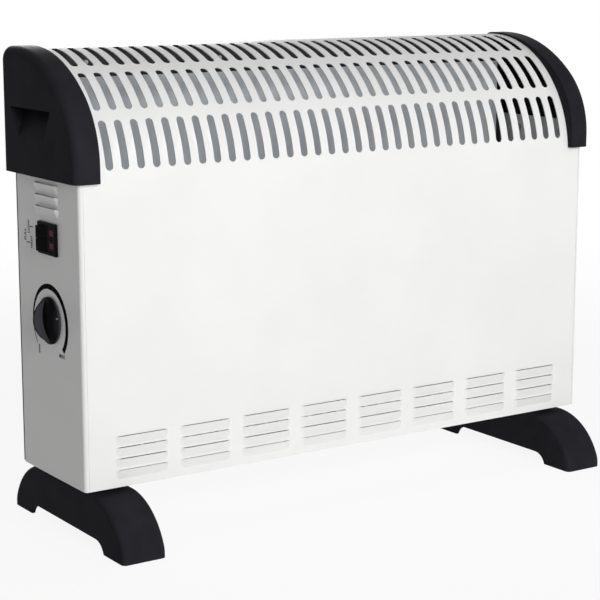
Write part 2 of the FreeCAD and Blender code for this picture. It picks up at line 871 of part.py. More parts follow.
def end_cap(label, side):
    """Moulded cap over the case's upper end, open below and towards the case."""
    body = new_body(label)
    low = cap_low
    wall = size("cap_wall")
    solid = new_sketch(body, label + "Solid", "YZ_Plane", side * cap_out)
    outline(solid, cap_points(as_size(0.0), low))
    block_pad = pad(body, solid, size("cap_rim"), side > 0)
    doc.recompute()
    soft = body.newObject("PartDesign::Fillet", label + "Edge")
    soft.Base = (block_pad, outer_edges(block_pad.Shape, (side * cap_out).number, low.number))
    soft.setExpression("Radius", size("cap_edge").text)
    gap = size("cap_gap")
    seat = new_sketch(body, label + "Seat", "YZ_Plane", side * cap_open)
    seat_hub = (rear + gap - bend, top + gap - bend)
    outline(seat, [
        (front - gap, low - overrun),
        (front - gap, roll_up),
        (roll_back, top + gap, roll_hub),
        (rear + gap - bend, top + gap),
        (rear + gap, top + gap - bend, seat_hub),
        (rear + gap, low - overrun),
    ])
    pocket(body, seat, size("cap_rim") - size("cap_side_proud") + gap, side > 0)
    inside = side * (cap_open + size("cap_lip"))
    hollow = new_sketch(body, label + "Hollow", "YZ_Plane", inside)
    outline(hollow, cap_points(wall, low - overrun))
    pocket(body, hollow, size("cap_rim") - wall - size("cap_lip"), side > 0)
    skin = size("grip_skin")
    high = top - size("grip_drop")
    foot = high - size("grip_height")
    deep = cap_out - size("grip_depth")
    wide = size("grip_width") / 2
    narrow = size("grip_narrow") / 2
    loft(body, "AdditiveLoft", label + "GripSkin", [
        grip_section(
            body, label + "SkinTop", high + skin, cap_out - wall / 2, deep - skin, wide + skin, side,
        ),
        grip_section(
            body, label + "SkinLow", foot - skin, cap_out - wall / 2, cap_out - wall - seam,
            narrow + skin, side,
        ),
    ])
    loft(body, "SubtractiveLoft", label + "Grip", [
        grip_section(body, label + "GripTop", high, cap_out + overrun, deep, wide, side),
        grip_section(body, label + "GripLow", foot, cap_out + overrun, cap_out - seam / 4, narrow, side),
    ])
    bosses = new_sketch(body, label + "Bosses", "YZ_Plane", side * half_width)
    pilots = new_sketch(body, label + "Pilots", "YZ_Plane", side * half_width)
    for step in (-1, 1):
        along = middle + size("cap_screw_place") * step
        circle(bosses, along, cap_screw_up, size("boss_radius"))
        circle(pilots, along, cap_screw_up, size("screw_radius"))
    pad(body, bosses, size("cap_side_proud") - wall / 2, side < 0)
    pocket(body, pilots, size("cap_screw_reach"), side > 0)
    place(body)
    return keep(body)


end_cap("left_end_cap", -1)
end_cap("right_end_cap", 1)
cap_screws = []
for side in (-1, 1):
    for step in (-1, 1):
        along = middle + size("cap_screw_place") * step
        point = (side * (half_width - sheet_thick), along, cap_screw_up)
        cap_screws.append(screw(
            "CapScrew%d%d" % (side + 1, step + 1), point, "x", side,
            sheet_thick + size("cap_screw_reach"), size("screw_head_radius"), size("screw_head"),
        ))
place(keep(group("cap_screws", cap_screws)))


def foot_points(inset, low):
    """Upper outline of a foot, drawn in by the inset."""
    half = size("foot_length") / 2
    shoulder = size("foot_shoulder")
    curve = size("foot_curve")
    tip = size("foot_tip_radius")
    spread = half - tip - shoulder
    climb = root((curve - tip) * (curve - tip) - spread * spread)
    hub_up = foot_top - curve
    tip_up = hub_up + climb
    join = shoulder + (curve - inset) * spread / (curve - tip)
    join_up = hub_up + (curve - inset) * climb / (curve - tip)
    level = foot_top - inset
    end = half - inset
    return [
        (-end, low),
        (-end, tip_up),
        (-join, join_up, (tip - half, tip_up)),
        (-shoulder, level, (-shoulder, hub_up)),
        (shoulder, level),
        (join, join_up, (shoulder, hub_up)),
        (end, tip_up, (half - tip, tip_up)),
        (end, low),
    ]


def moulded_foot(label, side):
    """Hollow foot, open below, with an arch along the floor and a raised pad on top."""
    body = new_body(label)
    half = size("foot_width") / 2
    arch = size("foot_arch")
    arch_half = size("foot_arch_half")
    arch_hub = arch - size("foot_arch_radius")
    spring = arch_half + root(size("foot_arch_radius") * size("foot_arch_radius") - arch_hub * arch_hub)
    side_view = new_sketch(body, label + "Side", "YZ_Plane", -half)
    outline(side_view, foot_points(as_size(0.0), as_size(0.0)) + [
        (spring, 0.0),
        (arch_half, arch, (arch_half, arch_hub)),
        (-arch_half, arch),
        (-spring, 0.0, (-arch_half, arch_hub)),
    ])
    solid = pad(body, side_view, half * 2)
    doc.recompute()
    names = outer_edges(solid.Shape, -half.number, arch.number)
    names = names + outer_edges(solid.Shape, half.number, arch.number)
    tips = []
    for index, edge in enumerate(solid.Shape.Edges, start=1):
        box = edge.BoundBox
        upright = box.ZLength > 1 and box.XLength < 1e-4 and box.YLength < 1e-4
        if upright and abs(abs(box.YMin) - size("foot_length").number / 2) < 1e-4:
            tips.append("Edge%d" % index)
    soft = body.newObject("PartDesign::Fillet", label + "Edge")
    soft.Base = (solid, sorted(set(names + tips)))
    soft.setExpression("Radius", size("foot_edge").text)
    wall = size("foot_wall")
    hollow = new_sketch(body, label + "Hollow", "YZ_Plane", wall - half)
    outline(hollow, foot_points(wall, -overrun))
    pocket(body, hollow, (half - wall) * 2, True)
    raised = new_sketch(body, label + "Raised", "XY_Plane", foot_top - wall / 2)
    wide = size("pad_width") / 2
    long = size("pad_length") / 2
    rectangle(raised, -wide, -long, wide, long)
    pad(body, raised, size("pad_rise") + wall / 2)
    holes = new_sketch(body, label + "Holes", "XY_Plane", bottom)
    for step in (-1, 1):
        circle(holes, 0.0, size("foot_screw_spacing") / 2 * step, size("screw_radius"))
    pocket(body, holes, size("pad_rise") + wall + overrun)
    place(body, foot_at * side)
    return keep(body)


moulded_foot("left_foot", -1)
moulded_foot("right_foot", 1)
foot_screws = []
for side in (-1, 1):
    for step in (-1, 1):
        under = foot_top - size("foot_wall")
        point = (foot_at * side, size("foot_screw_spacing") / 2 * step, under)
        foot_screws.append(screw(
            "FootScrew%d%d" % (side + 1, step + 1), point, "z", 1,
            bottom - under + sheet_thick + size("screw_past"), size("screw_head_radius"), size("screw_head"),
        ))
place(keep(group("foot_screws", foot_screws)))

# Heat shield between the elements and the rear panel, held off it by short spacers.
shield_back = rear - size("shield_gap")
shield_front = shield_back - sheet_thick
shield_half = half_width - size("shield_inset")
shield_low = bottom + size("shield_rise")
shield_high = top - size("shield_drop")
shield = block(
    "heat_shield", (-shield_half, shield_front, shield_low), (shield_half, shield_back, shield_high),
)
place(keep(shield), -shield_half, shield_front, shield_low)
margin = size("spacer_margin")
spacers = []
for step in (-1, 0, 1):
    for level in (shield_low + size("spacer_rise"), shield_high - margin):
        spacers.append(rod(
            "Spacer", size("spacer_radius"), inner_rear - shield_back,
            ((shield_half - margin) * step, shield_back, level), "y",
        ))
place(keep(group("shield_spacers", spacers)))

# Two finned elements, one above the other, each on a sheathed rod.
bracket_front = front + size("bracket_front_gap")
bracket_rear = shield_front - size("bracket_rear_gap")
element_along = (bracket_front + bracket_rear) / 2
element_half = half_width - size("element_inset")
element_low = bottom + size("element_rise")
element_high = element_low + size("element_step")
levels = (element_low, element_high)


def element(label, level):
    half = element_half
    wing = size("wing_length")
    thin = size("wing_thick") / 2
    angle = size("wing_angle")
    core = rod(label + "Core", size("element_core"), half * 2, (-half, element_along, level), "x")
    solids = [core]
    for turn in (-1, 1):
        fin = doc.addObject("Part::Box", label + "Wing")
        tilt = FreeCAD.Rotation(FreeCAD.Vector(1, 0, 0), angle.number * turn)
        fin.Placement = FreeCAD.Placement(FreeCAD.Vector(), tilt)
        fin.setExpression("Length", (half * 2).text)
        fin.setExpression("Width", (wing * 2).text)
        fin.setExpression("Height", (thin * 2).text)
        along = element_along - wing * cosine(angle) + thin * sine(angle) * turn
        up = level - wing * sine(angle) * turn - thin * cosine(angle)
        fin.setExpression("Placement.Base.x", (-half).text)
        fin.setExpression("Placement.Base.y", along.text)
        fin.setExpression("Placement.Base.z", up.text)
        solids.append(fin)
    bore = rod(label + "Bore", size("rod_radius"), half * 2, (-half, element_along, level), "x")
    return place(keep(cut(label, fuse(label + "Solid", solids), [bore])))


element("lower_element", levels[0])
element("upper_element", levels[1])
bracket_at = element_half + size("bracket_gap")
rod_half = bracket_at + size("rod_overhang")
rods = []
bushes = []
for level in levels:
    sheath = rod(
        "Sheath", size("rod_radius"), rod_half * 2, (-rod_half, element_along, level), "x",
    )
    pin_half = rod_half + size("rod_pin")
    pins = rod("RodPins", size("pin_end_radius"), pin_half * 2, (-pin_half, element_along, level), "x")
    rods.append(fuse("Rod", [sheath, pins]))
    for side in (-1, 1):
        start = (bracket_at * side - size("bush_length") / 2, element_along, level)
        solid = rod("Bush", size("bush_radius"), size("bush_length"), start, "x")
        bore = rod("BushBore", size("rod_radius"), size("bush_length"), start, "x")
        bushes.append(cut("BushRing", solid, [bore]))
place(keep(group("element_rods", rods)))
place(keep(group("ceramic_bushes", bushes)))
base_up = bottom + sheet_thick
bracket_thick = size("bracket_thick")
bracket_top = element_high + size("bracket_above")
bracket_screws = []


def element_bracket(label, side):
    """Upright sheet that carries the bushes, with a foot screwed to the base plate."""
    near = bracket_at * side - bracket_thick / 2
    far = near + bracket_thick
    upright = block(label + "Sheet", (near, bracket_front, base_up), (far, bracket_rear, bracket_top))
    foot_far = far + size("bracket_foot")
    if side < 0:
        far = near
        near = near - size("bracket_foot")
    else:
        near = far
        far = foot_far
    tread = base_up + bracket_thick
    foot = block(label + "Foot", (near, bracket_front, base_up), (far, bracket_rear, tread))
    inset = size("bracket_screw_inset")
    for along in (bracket_front + inset, bracket_rear - inset):
        bracket_screws.append(screw(
            label + "Screw", ((near + far) / 2, along, tread), "z", -1,
            bracket_thick + sheet_thick + size("screw_past"),
            size("screw_head_radius"), size("screw_head"),
        ))
    holes = []
    for level in levels:
        start = (bracket_at * side - bracket_thick, element_along, level)
        holes.append(rod(label + "Hole", size("bush_radius"), bracket_thick * 2, start, "x"))
    return place(keep(cut(label, fuse(label + "Solid", [upright, foot]), holes)))


element_bracket("left_element_bracket", -1)
element_bracket("right_element_bracket", 1)
place(keep(group("bracket_screws", bracket_screws)))

# Thermal cut-out on the outer side of the left bracket.
cutout_at = -bracket_at - bracket_thick / 2
cutout_up = element_high + size("cutout_above")
cutout_far = cutout_at - size("cutout_height")
cutout_can = rod(
    "CutoutCan", size("cutout_radius"), size("cutout_height"), (cutout_far, element_along, cutout_up), "x",
)
cutout_ear = block(
    "CutoutEar",
    (cutout_at - bracket_thick, element_along - size("cutout_flange"), cutout_up - size("blade_width")),
    (cutout_at, element_along + size("cutout_flange"), cutout_up + size("blade_width")),
)
cutout_parts = [cutout_can, cutout_ear]
for step in (-1, 1):
    along = element_along + size("cutout_blade") * step
    cutout_parts.append(block(
        "CutoutBlade",
        (cutout_far - size("blade_length"), along, cutout_up - size("blade_width") / 2),
        (cutout_far, along + size("blade_thick"), cutout_up + size("blade_width") / 2),
    ))
place(keep(fuse("thermal_cutout", cutout_parts)))

# Terminal block on the base plate, and the gland where the supply lead comes in.
block_half = size("block_length") / 2
block_at = size("block_inset") - half_width
block_along = size("block_along")
block_top = base_up + size("block_height")
block_solid = block(
    "BlockSolid", (block_at - block_half, block_along - size("block_width") / 2, base_up),
    (block_at + block_half, block_along + size("block_width") / 2, block_top),
)
block_holes = []
block_screws = []
block_reach = size("block_screw_reach")
for step in (-1, 0, 1):
    across = block_at + size("block_screw_pitch") * step
    start = (across, block_along, block_top - block_reach)
    block_holes.append(rod("BlockHole", size("screw_radius"), block_reach, start, "z"))
    block_screws.append(screw(
        "BlockScrew", (across, block_along, block_top), "z", -1, block_reach,
        size("screw_head_radius"), size("screw_head"),
    ))
place(keep(cut("terminal_block", block_solid, block_holes)))
place(keep(group("terminal_screws", block_screws)))
gland_in = inner_rear - size("gland_nut")
gland_end = gland_in - size("gland_lip")
gland_out = rear + size("gland_lip")
gland_parts = [
    rod("GlandFlange", size("gland_flange"), size("gland_lip"), (gland_at, rear, gland_up), "y"),
    rod("GlandNeck", size("gland_radius"), gland_out - gland_end, (gland_at, gland_end, gland_up), "y"),
    rod("GlandNut", size("gland_flange"), size("gland_nut"), (gland_at, gland_in, gland_up), "y"),
]
gland_bore = rod(
    "GlandBore", size("gland_bore"), gland_out - gland_end, (gland_at, gland_end, gland_up), "y",
)
place(keep(cut("cable_gland", fuse("GlandSolid", gland_parts), [gland_bore])))

# Thermostat behind the left panel, with its shaft and knob.
panel_out = -half_width
panel_in = panel_out + sheet_thick
plate_in = panel_in + size("stat_plate_thick")
stat_in = plate_in + size("stat_depth")
knob_along = size("knob_place")
shaft_bore = size("shaft_radius") + size("pin_play")
shaft_end = plate_in + size("shaft_depth")
stat_screw_reach = sheet_thick + size("stat_plate_thick") + size("stat_screw_bite")
plate_solid = block(
    "PlateSolid",
    (panel_in, knob_along - size("stat_plate_width") / 2, knob_up - size("stat_plate_height") / 2),
    (plate_in, knob_along + size("stat_plate_width") / 2, knob_up + size("stat_plate_height") / 2),
)
stat_solid = block(
    "StatSolid", (plate_in, knob_along - size("stat_width") / 2, knob_up - size("stat_height") / 2),
    (stat_in, knob_along + size("stat_width") / 2, knob_up + size("stat_height") / 2),
)
bore_length = shaft_end + size("shaft_end_gap") - panel_in
plate_holes = [rod("PlateBore", shaft_bore, bore_length, (panel_in, knob_along, knob_up), "x")]
stat_holes = [rod("StatBore", shaft_bore, bore_length, (panel_in, knob_along, knob_up), "x")]
stat_screws = []
for step in (-1, 1):
    level = knob_up + size("stat_screw_spacing") / 2 * step
    point = (panel_out, knob_along, level)
    plate_holes.append(rod("PlateHole", size("screw_radius"), stat_screw_reach, point, "x"))
    stat_holes.append(rod("StatHole", size("screw_radius"), stat_screw_reach, point, "x"))
    stat_screws.append(screw(
        "StatScrew", point, "x", 1, stat_screw_reach,
        size("stat_screw_head_radius"), size("stat_screw_head"),
    ))
place(keep(cut("thermostat_plate", plate_solid, plate_holes)))
place(keep(cut("thermostat_body", stat_solid, stat_holes)))
place(keep(group("thermostat_screws", stat_screws)))
stat_blades = []
for step in (-1, 1):
    along = knob_along + size("blade_pitch") * step
    stat_blades.append(block(
        "StatBlade", (stat_in, along, knob_up - size("blade_width") / 2),
        (stat_in + size("blade_length"), along + size("blade_thick"), knob_up + size("blade_width") / 2),
    ))
place(keep(group("thermostat_terminals", stat_blades)))
knob_low = size("knob_gap") + size("knob_rim")
shaft_start = panel_out - size("knob_gap") - size("knob_bore")
shaft = rod(
    "thermostat_shaft", size("shaft_radius"), shaft_end - shaft_start,
    (shaft_start, knob_along, knob_up), "x",
)
place(keep(shaft), shaft_start, knob_along, knob_up)


def cap_radius(half, height):
    """Radius of the arc that rises by the height over the half chord."""
    return (half * half + height * height) / (height * 2)


knob_radius = size("knob_radius")
dome_high = size("knob_dome")
grip_high = size("knob_stand")
dome_radius = cap_radius(knob_radius, dome_high - knob_low)
grip_half = size("knob_grip") / 2
grip_reach = knob_radius - size("knob_end")
crown_radius = cap_radius(grip_reach, grip_high - knob_low)
knob = new_body("thermostat_knob")
knob_half = new_sketch(knob, "KnobHalf", "XY_Plane")
outline(knob_half, [
    (-size("knob_gap"), 0.0),
    (-size("knob_gap"), knob_radius),
    (-knob_low, knob_radius),
    (-dome_high, 0.0, (dome_radius - dome_high, 0.0)),
])
knob_dome = knob.newObject("PartDesign::Revolution", "KnobDome")
knob_dome.Profile = knob_half
knob_dome.ReferenceAxis = (knob_half, ["H_Axis"])
grip_sketch = new_sketch(knob, "KnobGrip", "XZ_Plane", -grip_half)
outline(grip_sketch, [
    (-knob_low, -grip_reach, (crown_radius - grip_high, 0.0)),
    (-knob_low, grip_reach),
])
grip = pad(knob, grip_sketch, grip_half * 2)
doc.recompute()
crown_edges = []
for index, edge in enumerate(grip.Shape.Edges, start=1):
    level = edge.BoundBox.YLength < 1e-4 and edge.Curve.TypeId == "Part::GeomCircle"
    if level and abs(edge.Curve.Radius - crown_radius.number) < 1e-4:
        crown_edges.append("Edge%d" % index)
soft_grip = knob.newObject("PartDesign::Fillet", "KnobSoft")
soft_grip.Base = (grip, crown_edges)
soft_grip.setExpression("Radius", size("knob_soft").text)
knob_ring = new_sketch(knob, "KnobHollow", "YZ_Plane", -size("knob_gap"))
circle(knob_ring, 0.0, 0.0, size("knob_hollow"))
circle(knob_ring, 0.0, 0.0, size("knob_hub"))
pocket(knob, knob_ring, size("knob_hollow_depth"))
knob_bore = new_sketch(knob, "KnobBore", "YZ_Plane", -size("knob_gap"))
circle(knob_bore, 0.0, 0.0, size("shaft_radius"))
pocket(knob, knob_bore, size("knob_bore"))
knob_turn = FreeCAD.Rotation(FreeCAD.Vector(1, 0, 0), -size("knob_lean").number)
knob.Placement = FreeCAD.Placement(FreeCAD.Vector(), knob_turn)
place(keep(knob), panel_out, knob_along, knob_up)

# Double rocker switch in the left panel: housing, one pin, two rockers and their lenses.
switch_along = size("switch_place")
bezel_out = panel_out - size("switch_bezel")
bezel = block(
    "Bezel",
    (bezel_out, switch_along - size("switch_length") / 2, switch_up - size("switch_height") / 2),
    (panel_out, switch_along + size("switch_length") / 2, switch_up + size("switch_height") / 2),
)
doc.recompute()
bezel_edges = []
for index, edge in enumerate(bezel.Shape.Edges, start=1):
    if edge.BoundBox.XMin < panel_out.number - 1e-4:
        bezel_edges.append((index, size("bezel_soft").number, size("bezel_soft").number))
soft_bezel = doc.addObject("Part::Fillet", "SoftBezel")
soft_bezel.Base = bezel
soft_bezel.Edges = bezel_edges
switch_in = panel_out + size("switch_body_depth")
switch_low = switch_up - size("switch_body_height") / 2
switch_body = block(
    "SwitchBody", (panel_out, switch_along - size("switch_body_length") / 2, switch_low),
    (switch_in, switch_along + size("switch_body_length") / 2, switch_low + size("switch_body_height")),
)
well = block(
    "SwitchWell",
    (bezel_out, switch_along - size("well_length") / 2, switch_up - size("well_height") / 2),
    (
        panel_out + size("well_depth"), switch_along + size("well_length") / 2,
        switch_up + size("well_height") / 2,
    ),
)
pivot_at = panel_out + size("rocker_pivot")
pin_start = (pivot_at, switch_along, switch_low)
pin_hole = rod("PinHole", size("pin_radius"), size("switch_body_height"), pin_start, "z")
place(keep(cut("switch_housing", fuse("SwitchSolid", [soft_bezel, switch_body]), [well, pin_hole])))
pin = rod("rocker_pin", size("pin_radius"), size("switch_body_height"), pin_start, "z")
place(keep(pin), *pin_start)
switch_blades = []
for step in (-1, 0, 1):
    for row in (-1, 1):
        along = switch_along + size("blade_pitch") * step - size("blade_thick") / 2
        low = switch_up + size("rocker_width") / 2 * row - size("blade_width") / 2
        switch_blades.append(block(
            "SwitchBlade", (switch_in, along, low),
            (switch_in + size("blade_length"), along + size("blade_thick"), low + size("blade_width")),
        ))
place(keep(group("switch_terminals", switch_blades)))
rocker_half = size("rocker_length") / 2
rocker_wide = size("rocker_width") / 2
rocker_turn = FreeCAD.Rotation(FreeCAD.Vector(0, 0, 1), size("rocker_tilt").number)


def lens_points():
    low = size("lens_low")
    waist = size("rocker_waist")
    slope = (size("rocker_end") - waist) / rocker_half
    far = size("lens_place") + size("lens_length") / 2
    near = size("lens_place") - size("lens_length") / 2
    return [(-low, -far), (-waist - slope * far, -far), (-waist - slope * near, -near), (-low, -near)]


def rocker(word, step):
    """Rocker with its front end pressed in, and the red lens let into that end."""
    label = word + "_rocker"
    body = new_body(label)
    end = size("rocker_end")
    skirt = size("rocker_skirt")
    deep = size("rocker_deep")
    heel = size("rocker_heel")
    plan = new_sketch(body, label + "Plan", "XY_Plane", -rocker_wide)
    outline(plan, [
        (-skirt, -rocker_half),
        (-end, -rocker_half),
        (-size("rocker_waist"), 0.0),
        (-end, rocker_half),
        (-skirt, rocker_half),
        (deep, heel),
        (deep, -heel),
    ])
    pad(body, plan, rocker_wide * 2)
    bore = new_sketch(body, label + "Bore", "XY_Plane", -rocker_wide)
    circle(bore, 0.0, 0.0, size("pin_radius") + size("pin_play"))
    pocket(body, bore, rocker_wide * 2, True)
    seat = new_sketch(body, label + "Seat", "XY_Plane", -size("lens_width") / 2)
    outline(seat, lens_points())
    pocket(body, seat, size("lens_width"), True)
    lens = new_body(word + "_lens")
    shape = new_sketch(lens, word + "LensPlan", "XY_Plane", -size("lens_width") / 2)
    outline(shape, lens_points())
    pad(lens, shape, size("lens_width"))
    level = switch_up + (rocker_wide + size("rocker_gap") / 2) * step
    for item in (body, lens):
        item.Placement = FreeCAD.Placement(FreeCAD.Vector(), rocker_turn)
        place(keep(item), pivot_at, switch_along, level)


rocker("upper", 1)
rocker("lower", -1)

doc.recompute()
for item in doc.Objects:
    if "Invalid" in item.State or "Error" in item.State:
        raise RuntimeError("%s did not build" % item.Label)
os.makedirs("parts", exist_ok=True)
for item in pieces:
    if item.Shape.isNull() or not item.Shape.isValid():
        raise RuntimeError("%s has no valid shape" % item.Label)
    item.Shape.exportStep(os.path.join("parts", item.Label + ".step"))
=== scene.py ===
import json
import math

import bmesh
import bpy
from mathutils import Matrix, Vector


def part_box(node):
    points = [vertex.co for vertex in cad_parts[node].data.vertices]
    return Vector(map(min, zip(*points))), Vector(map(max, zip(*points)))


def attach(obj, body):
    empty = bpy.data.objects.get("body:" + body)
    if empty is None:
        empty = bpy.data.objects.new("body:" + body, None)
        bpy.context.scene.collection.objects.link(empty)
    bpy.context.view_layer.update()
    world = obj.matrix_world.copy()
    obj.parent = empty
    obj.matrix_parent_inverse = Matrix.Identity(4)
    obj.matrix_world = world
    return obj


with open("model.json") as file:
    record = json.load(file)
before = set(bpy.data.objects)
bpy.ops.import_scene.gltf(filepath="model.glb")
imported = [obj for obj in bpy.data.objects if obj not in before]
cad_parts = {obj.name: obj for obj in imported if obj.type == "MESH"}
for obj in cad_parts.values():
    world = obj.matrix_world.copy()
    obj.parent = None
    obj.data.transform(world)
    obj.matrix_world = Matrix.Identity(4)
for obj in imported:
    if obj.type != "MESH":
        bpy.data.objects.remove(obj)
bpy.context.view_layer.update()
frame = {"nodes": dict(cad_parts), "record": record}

nodes = frame["nodes"]
mm = 0.001
print("frame loaded:", len(nodes), "nodes")


def srgb(text):
    # sRGB hex to linear, opaque
    parts = [int(text[i:i + 2], 16) / 255 for i in (1, 3, 5)]
    return [c / 12.92 if c <= 0.04045 else ((c + 0.055) / 1.055) ** 2.4 for c in parts] + [1.0]


def addNode(tree, kind, values=None, links=None, **settings):
    node = tree.nodes.new(kind)
    for key, value in settings.items():
        setattr(node, key, value)
    for key, value in (values or {}).items():
        node.inputs[key].default_value = value
    for key, (source, output) in (links or {}).items():
        tree.links.new(source.outputs[output], node.inputs[key])
    return node


def newMaterial(name):
    # empty node tree, with object coordinates in metres
    material = bpy.data.materials.new(name)
    material.use_nodes = True
    material.node_tree.nodes.clear()
    return material, material.node_tree, addNode(material.node_tree, "ShaderNodeTexCoord")


def perMetre(sizeMm):
    # texture scale for features sizeMm apart
    return 1 / (sizeMm * mm)


# sockets of a colour mix
mixA, mixB, mixResult = 6, 7, 2
# span in which most values of a noise lie
noiseLow, noiseHigh = 0.3, 0.7

# Powder-coated steel sheet, baked: an even satin white with a faint orange peel. Painted shade: the rear
# sheets are coloured dark on the inside, standing in for the shade there, which shows black through the
# upper slots.
coat = {"deep": "#eeeeed", "pale": "#f2f2f1", "paintedShade": "#202123", "cloudMm": 70, "cloudDetail": 3.0,
        "peelMm": 1.8, "peelDetail": 2.0, "smooth": 0.36, "dull": 0.44, "bump": 0.12, "depthMm": 0.03,
        "ior": 1.5, "inward": -0.5, "rearFrom": 40 * mm}
whiteCoat, tree, spot = newMaterial("powderCoatedSteel")
cloud = addNode(tree, "ShaderNodeTexNoise",
                {"Scale": perMetre(coat["cloudMm"]), "Detail": coat["cloudDetail"]},
                {"Vector": (spot, "Object")})
peel = addNode(tree, "ShaderNodeTexNoise",
               {"Scale": perMetre(coat["peelMm"]), "Detail": coat["peelDetail"]},
               {"Vector": (spot, "Object")})
share = addNode(tree, "ShaderNodeMapRange", {"From Min": noiseLow, "From Max": noiseHigh},
                {"Value": (cloud, "Fac")})
tone = addNode(tree, "ShaderNodeMix", {mixA: srgb(coat["deep"]), mixB: srgb(coat["pale"])},
               {0: (share, "Result")}, data_type="RGBA")
facing = addNode(tree, "ShaderNodeSeparateXYZ", links={"Vector": (spot, "Normal")})
place = addNode(tree, "ShaderNodeSeparateXYZ", links={"Vector": (spot, "Object")})
# Painted shade: faces turned to the front, more than 40 mm behind the middle, are coloured dark.
inward = addNode(tree, "ShaderNodeMath", {1: coat["inward"]}, {0: (facing, "Y")}, operation="LESS_THAN")
behind = addNode(tree, "ShaderNodeMath", {1: coat["rearFrom"]}, {0: (place, "Y")}, operation="GREATER_THAN")
paintedShadeMask = addNode(tree, "ShaderNodeMath", links={0: (inward, "Value"), 1: (behind, "Value")},
                 operation="MULTIPLY")
twoSided = addNode(tree, "ShaderNodeMix", {mixB: srgb(coat["paintedShade"])},
                   {0: (paintedShadeMask, "Value"), mixA: (tone, mixResult)}, data_type="RGBA")
sheen = addNode(tree, "ShaderNodeMapRange", {"To Min": coat["smooth"], "To Max": coat["dull"]},
                {"Value": (share, "Result")})
bump = addNode(tree, "ShaderNodeBump", {"Strength": coat["bump"], "Distance": coat["depthMm"] * mm},
               {"Height": (peel, "Fac")})
shader = addNode(tree, "ShaderNodeBsdfPrincipled", {"IOR": coat["ior"]},
                 {"Base Color": (twoSided, mixResult), "Roughness": (sheen, "Result"),
                  "Normal": (bump, "Normal")})
addNode(tree, "ShaderNodeOutputMaterial", links={"Surface": (shader, "BSDF")})

# Polypropylene, moulded in a spark-eroded tool: black, its fine grain leaves only a weak soft sheen.
moulding = {"deep": "#26262a", "pale": "#2d2d31", "cloudMm": 25, "cloudDetail": 4.0, "smooth": 0.3,
            "dull": 0.38, "bump": 0.2, "depthMm": 0.04, "ior": 1.49, "gloss": 0.005,
            "grainMm": 0.9}   # the grain is 0.3 mm, drawn coarser to show
blackMoulding, tree, spot = newMaterial("mouldedPolypropylene")
grain = addNode(tree, "ShaderNodeTexVoronoi", {"Scale": perMetre(moulding["grainMm"])},
                {"Vector": (spot, "Object")}, feature="SMOOTH_F1")
cloud = addNode(tree, "ShaderNodeTexNoise",
                {"Scale": perMetre(moulding["cloudMm"]), "Detail": moulding["cloudDetail"]},
                {"Vector": (spot, "Object")})
share = addNode(tree, "ShaderNodeMapRange", {"From Min": noiseLow, "From Max": noiseHigh},
                {"Value": (cloud, "Fac")})
tone = addNode(tree, "ShaderNodeMix", {mixA: srgb(moulding["deep"]), mixB: srgb(moulding["pale"])},
               {0: (share, "Result")}, data_type="RGBA")
sheen = addNode(tree, "ShaderNodeMapRange", {"To Min": moulding["smooth"], "To Max": moulding["dull"]},
                {"Value": (share, "Result")})
bump = addNode(tree, "ShaderNodeBump", {"Strength": moulding["bump"], "Distance": moulding["depthMm"] * mm},
               {"Height": (grain, "Distance")})
shader = addNode(tree, "ShaderNodeBsdfPrincipled",
                 {"IOR": moulding["ior"], "Specular IOR Level": moulding["gloss"]},
                 {"Base Color": (tone, mixResult), "Roughness": (sheen, "Result"),
                  "Normal": (bump, "Normal")})
addNode(tree, "ShaderNodeOutputMaterial", links={"Surface": (shader, "BSDF")})

# Polyamide, moulded in a polished tool: smooth black with a soft gloss.
control = {"deep": "#121214", "pale": "#18181a", "cloudMm": 6, "cloudDetail": 3.0, "smooth": 0.2,
           "dull": 0.26, "bump": 0.05, "depthMm": 0.05, "ior": 1.53, "gloss": 0.008}
blackControl, tree, spot = newMaterial("mouldedPolyamide")
cloud = addNode(tree, "ShaderNodeTexNoise",
                {"Scale": perMetre(control["cloudMm"]), "Detail": control["cloudDetail"]},
                {"Vector": (spot, "Object")})
share = addNode(tree, "ShaderNodeMapRange", {"From Min": noiseLow, "From Max": noiseHigh},
                {"Value": (cloud, "Fac")})
tone = addNode(tree, "ShaderNodeMix", {mixA: srgb(control["deep"]), mixB: srgb(control["pale"])},
               {0: (share, "Result")}, data_type="RGBA")
sheen = addNode(tree, "ShaderNodeMapRange", {"To Min": control["smooth"], "To Max": control["dull"]},
                {"Value": (share, "Result")})
bump = addNode(tree, "ShaderNodeBump", {"Strength": control["bump"], "Distance": control["depthMm"] * mm},
               {"Height": (cloud, "Fac")})
shader = addNode(tree, "ShaderNodeBsdfPrincipled",
                 {"IOR": control["ior"], "Specular IOR Level": control["gloss"]},
                 {"Base Color": (tone, mixResult), "Roughness": (sheen, "Result"),
                  "Normal": (bump, "Normal")})
addNode(tree, "ShaderNodeOutputMaterial", links={"Surface": (shader, "BSDF")})

# The knob's polyamide: black, with the flanks of its grip coloured paler as painted light, standing in for
# the light they catch.
grip = {"deep": "#0e0e10", "pale": "#141416", "paintedFlankLight": "#3a3a3f", "cloudMm": 5, "cloudDetail": 3.0,
        "smooth": 0.22, "dull": 0.3, "faceTo": 0.35, "flankFrom": 0.65, "bump": 0.05, "depthMm": 0.05,
        "ior": 1.53, "gloss": 0.008}
knobMoulding, tree, spot = newMaterial("polyamideWithPaintedLight")
cloud = addNode(tree, "ShaderNodeTexNoise",
                {"Scale": perMetre(grip["cloudMm"]), "Detail": grip["cloudDetail"]},
                {"Vector": (spot, "Object")})
share = addNode(tree, "ShaderNodeMapRange", {"From Min": noiseLow, "From Max": noiseHigh},
                {"Value": (cloud, "Fac")})
tone = addNode(tree, "ShaderNodeMix", {mixA: srgb(grip["deep"]), mixB: srgb(grip["pale"])},
               {0: (share, "Result")}, data_type="RGBA")
# Painted light: faces turned sideways along Y are coloured paler.
facing = addNode(tree, "ShaderNodeSeparateXYZ", links={"Vector": (spot, "Normal")})
sideways = addNode(tree, "ShaderNodeMath", links={0: (facing, "Y")}, operation="ABSOLUTE")
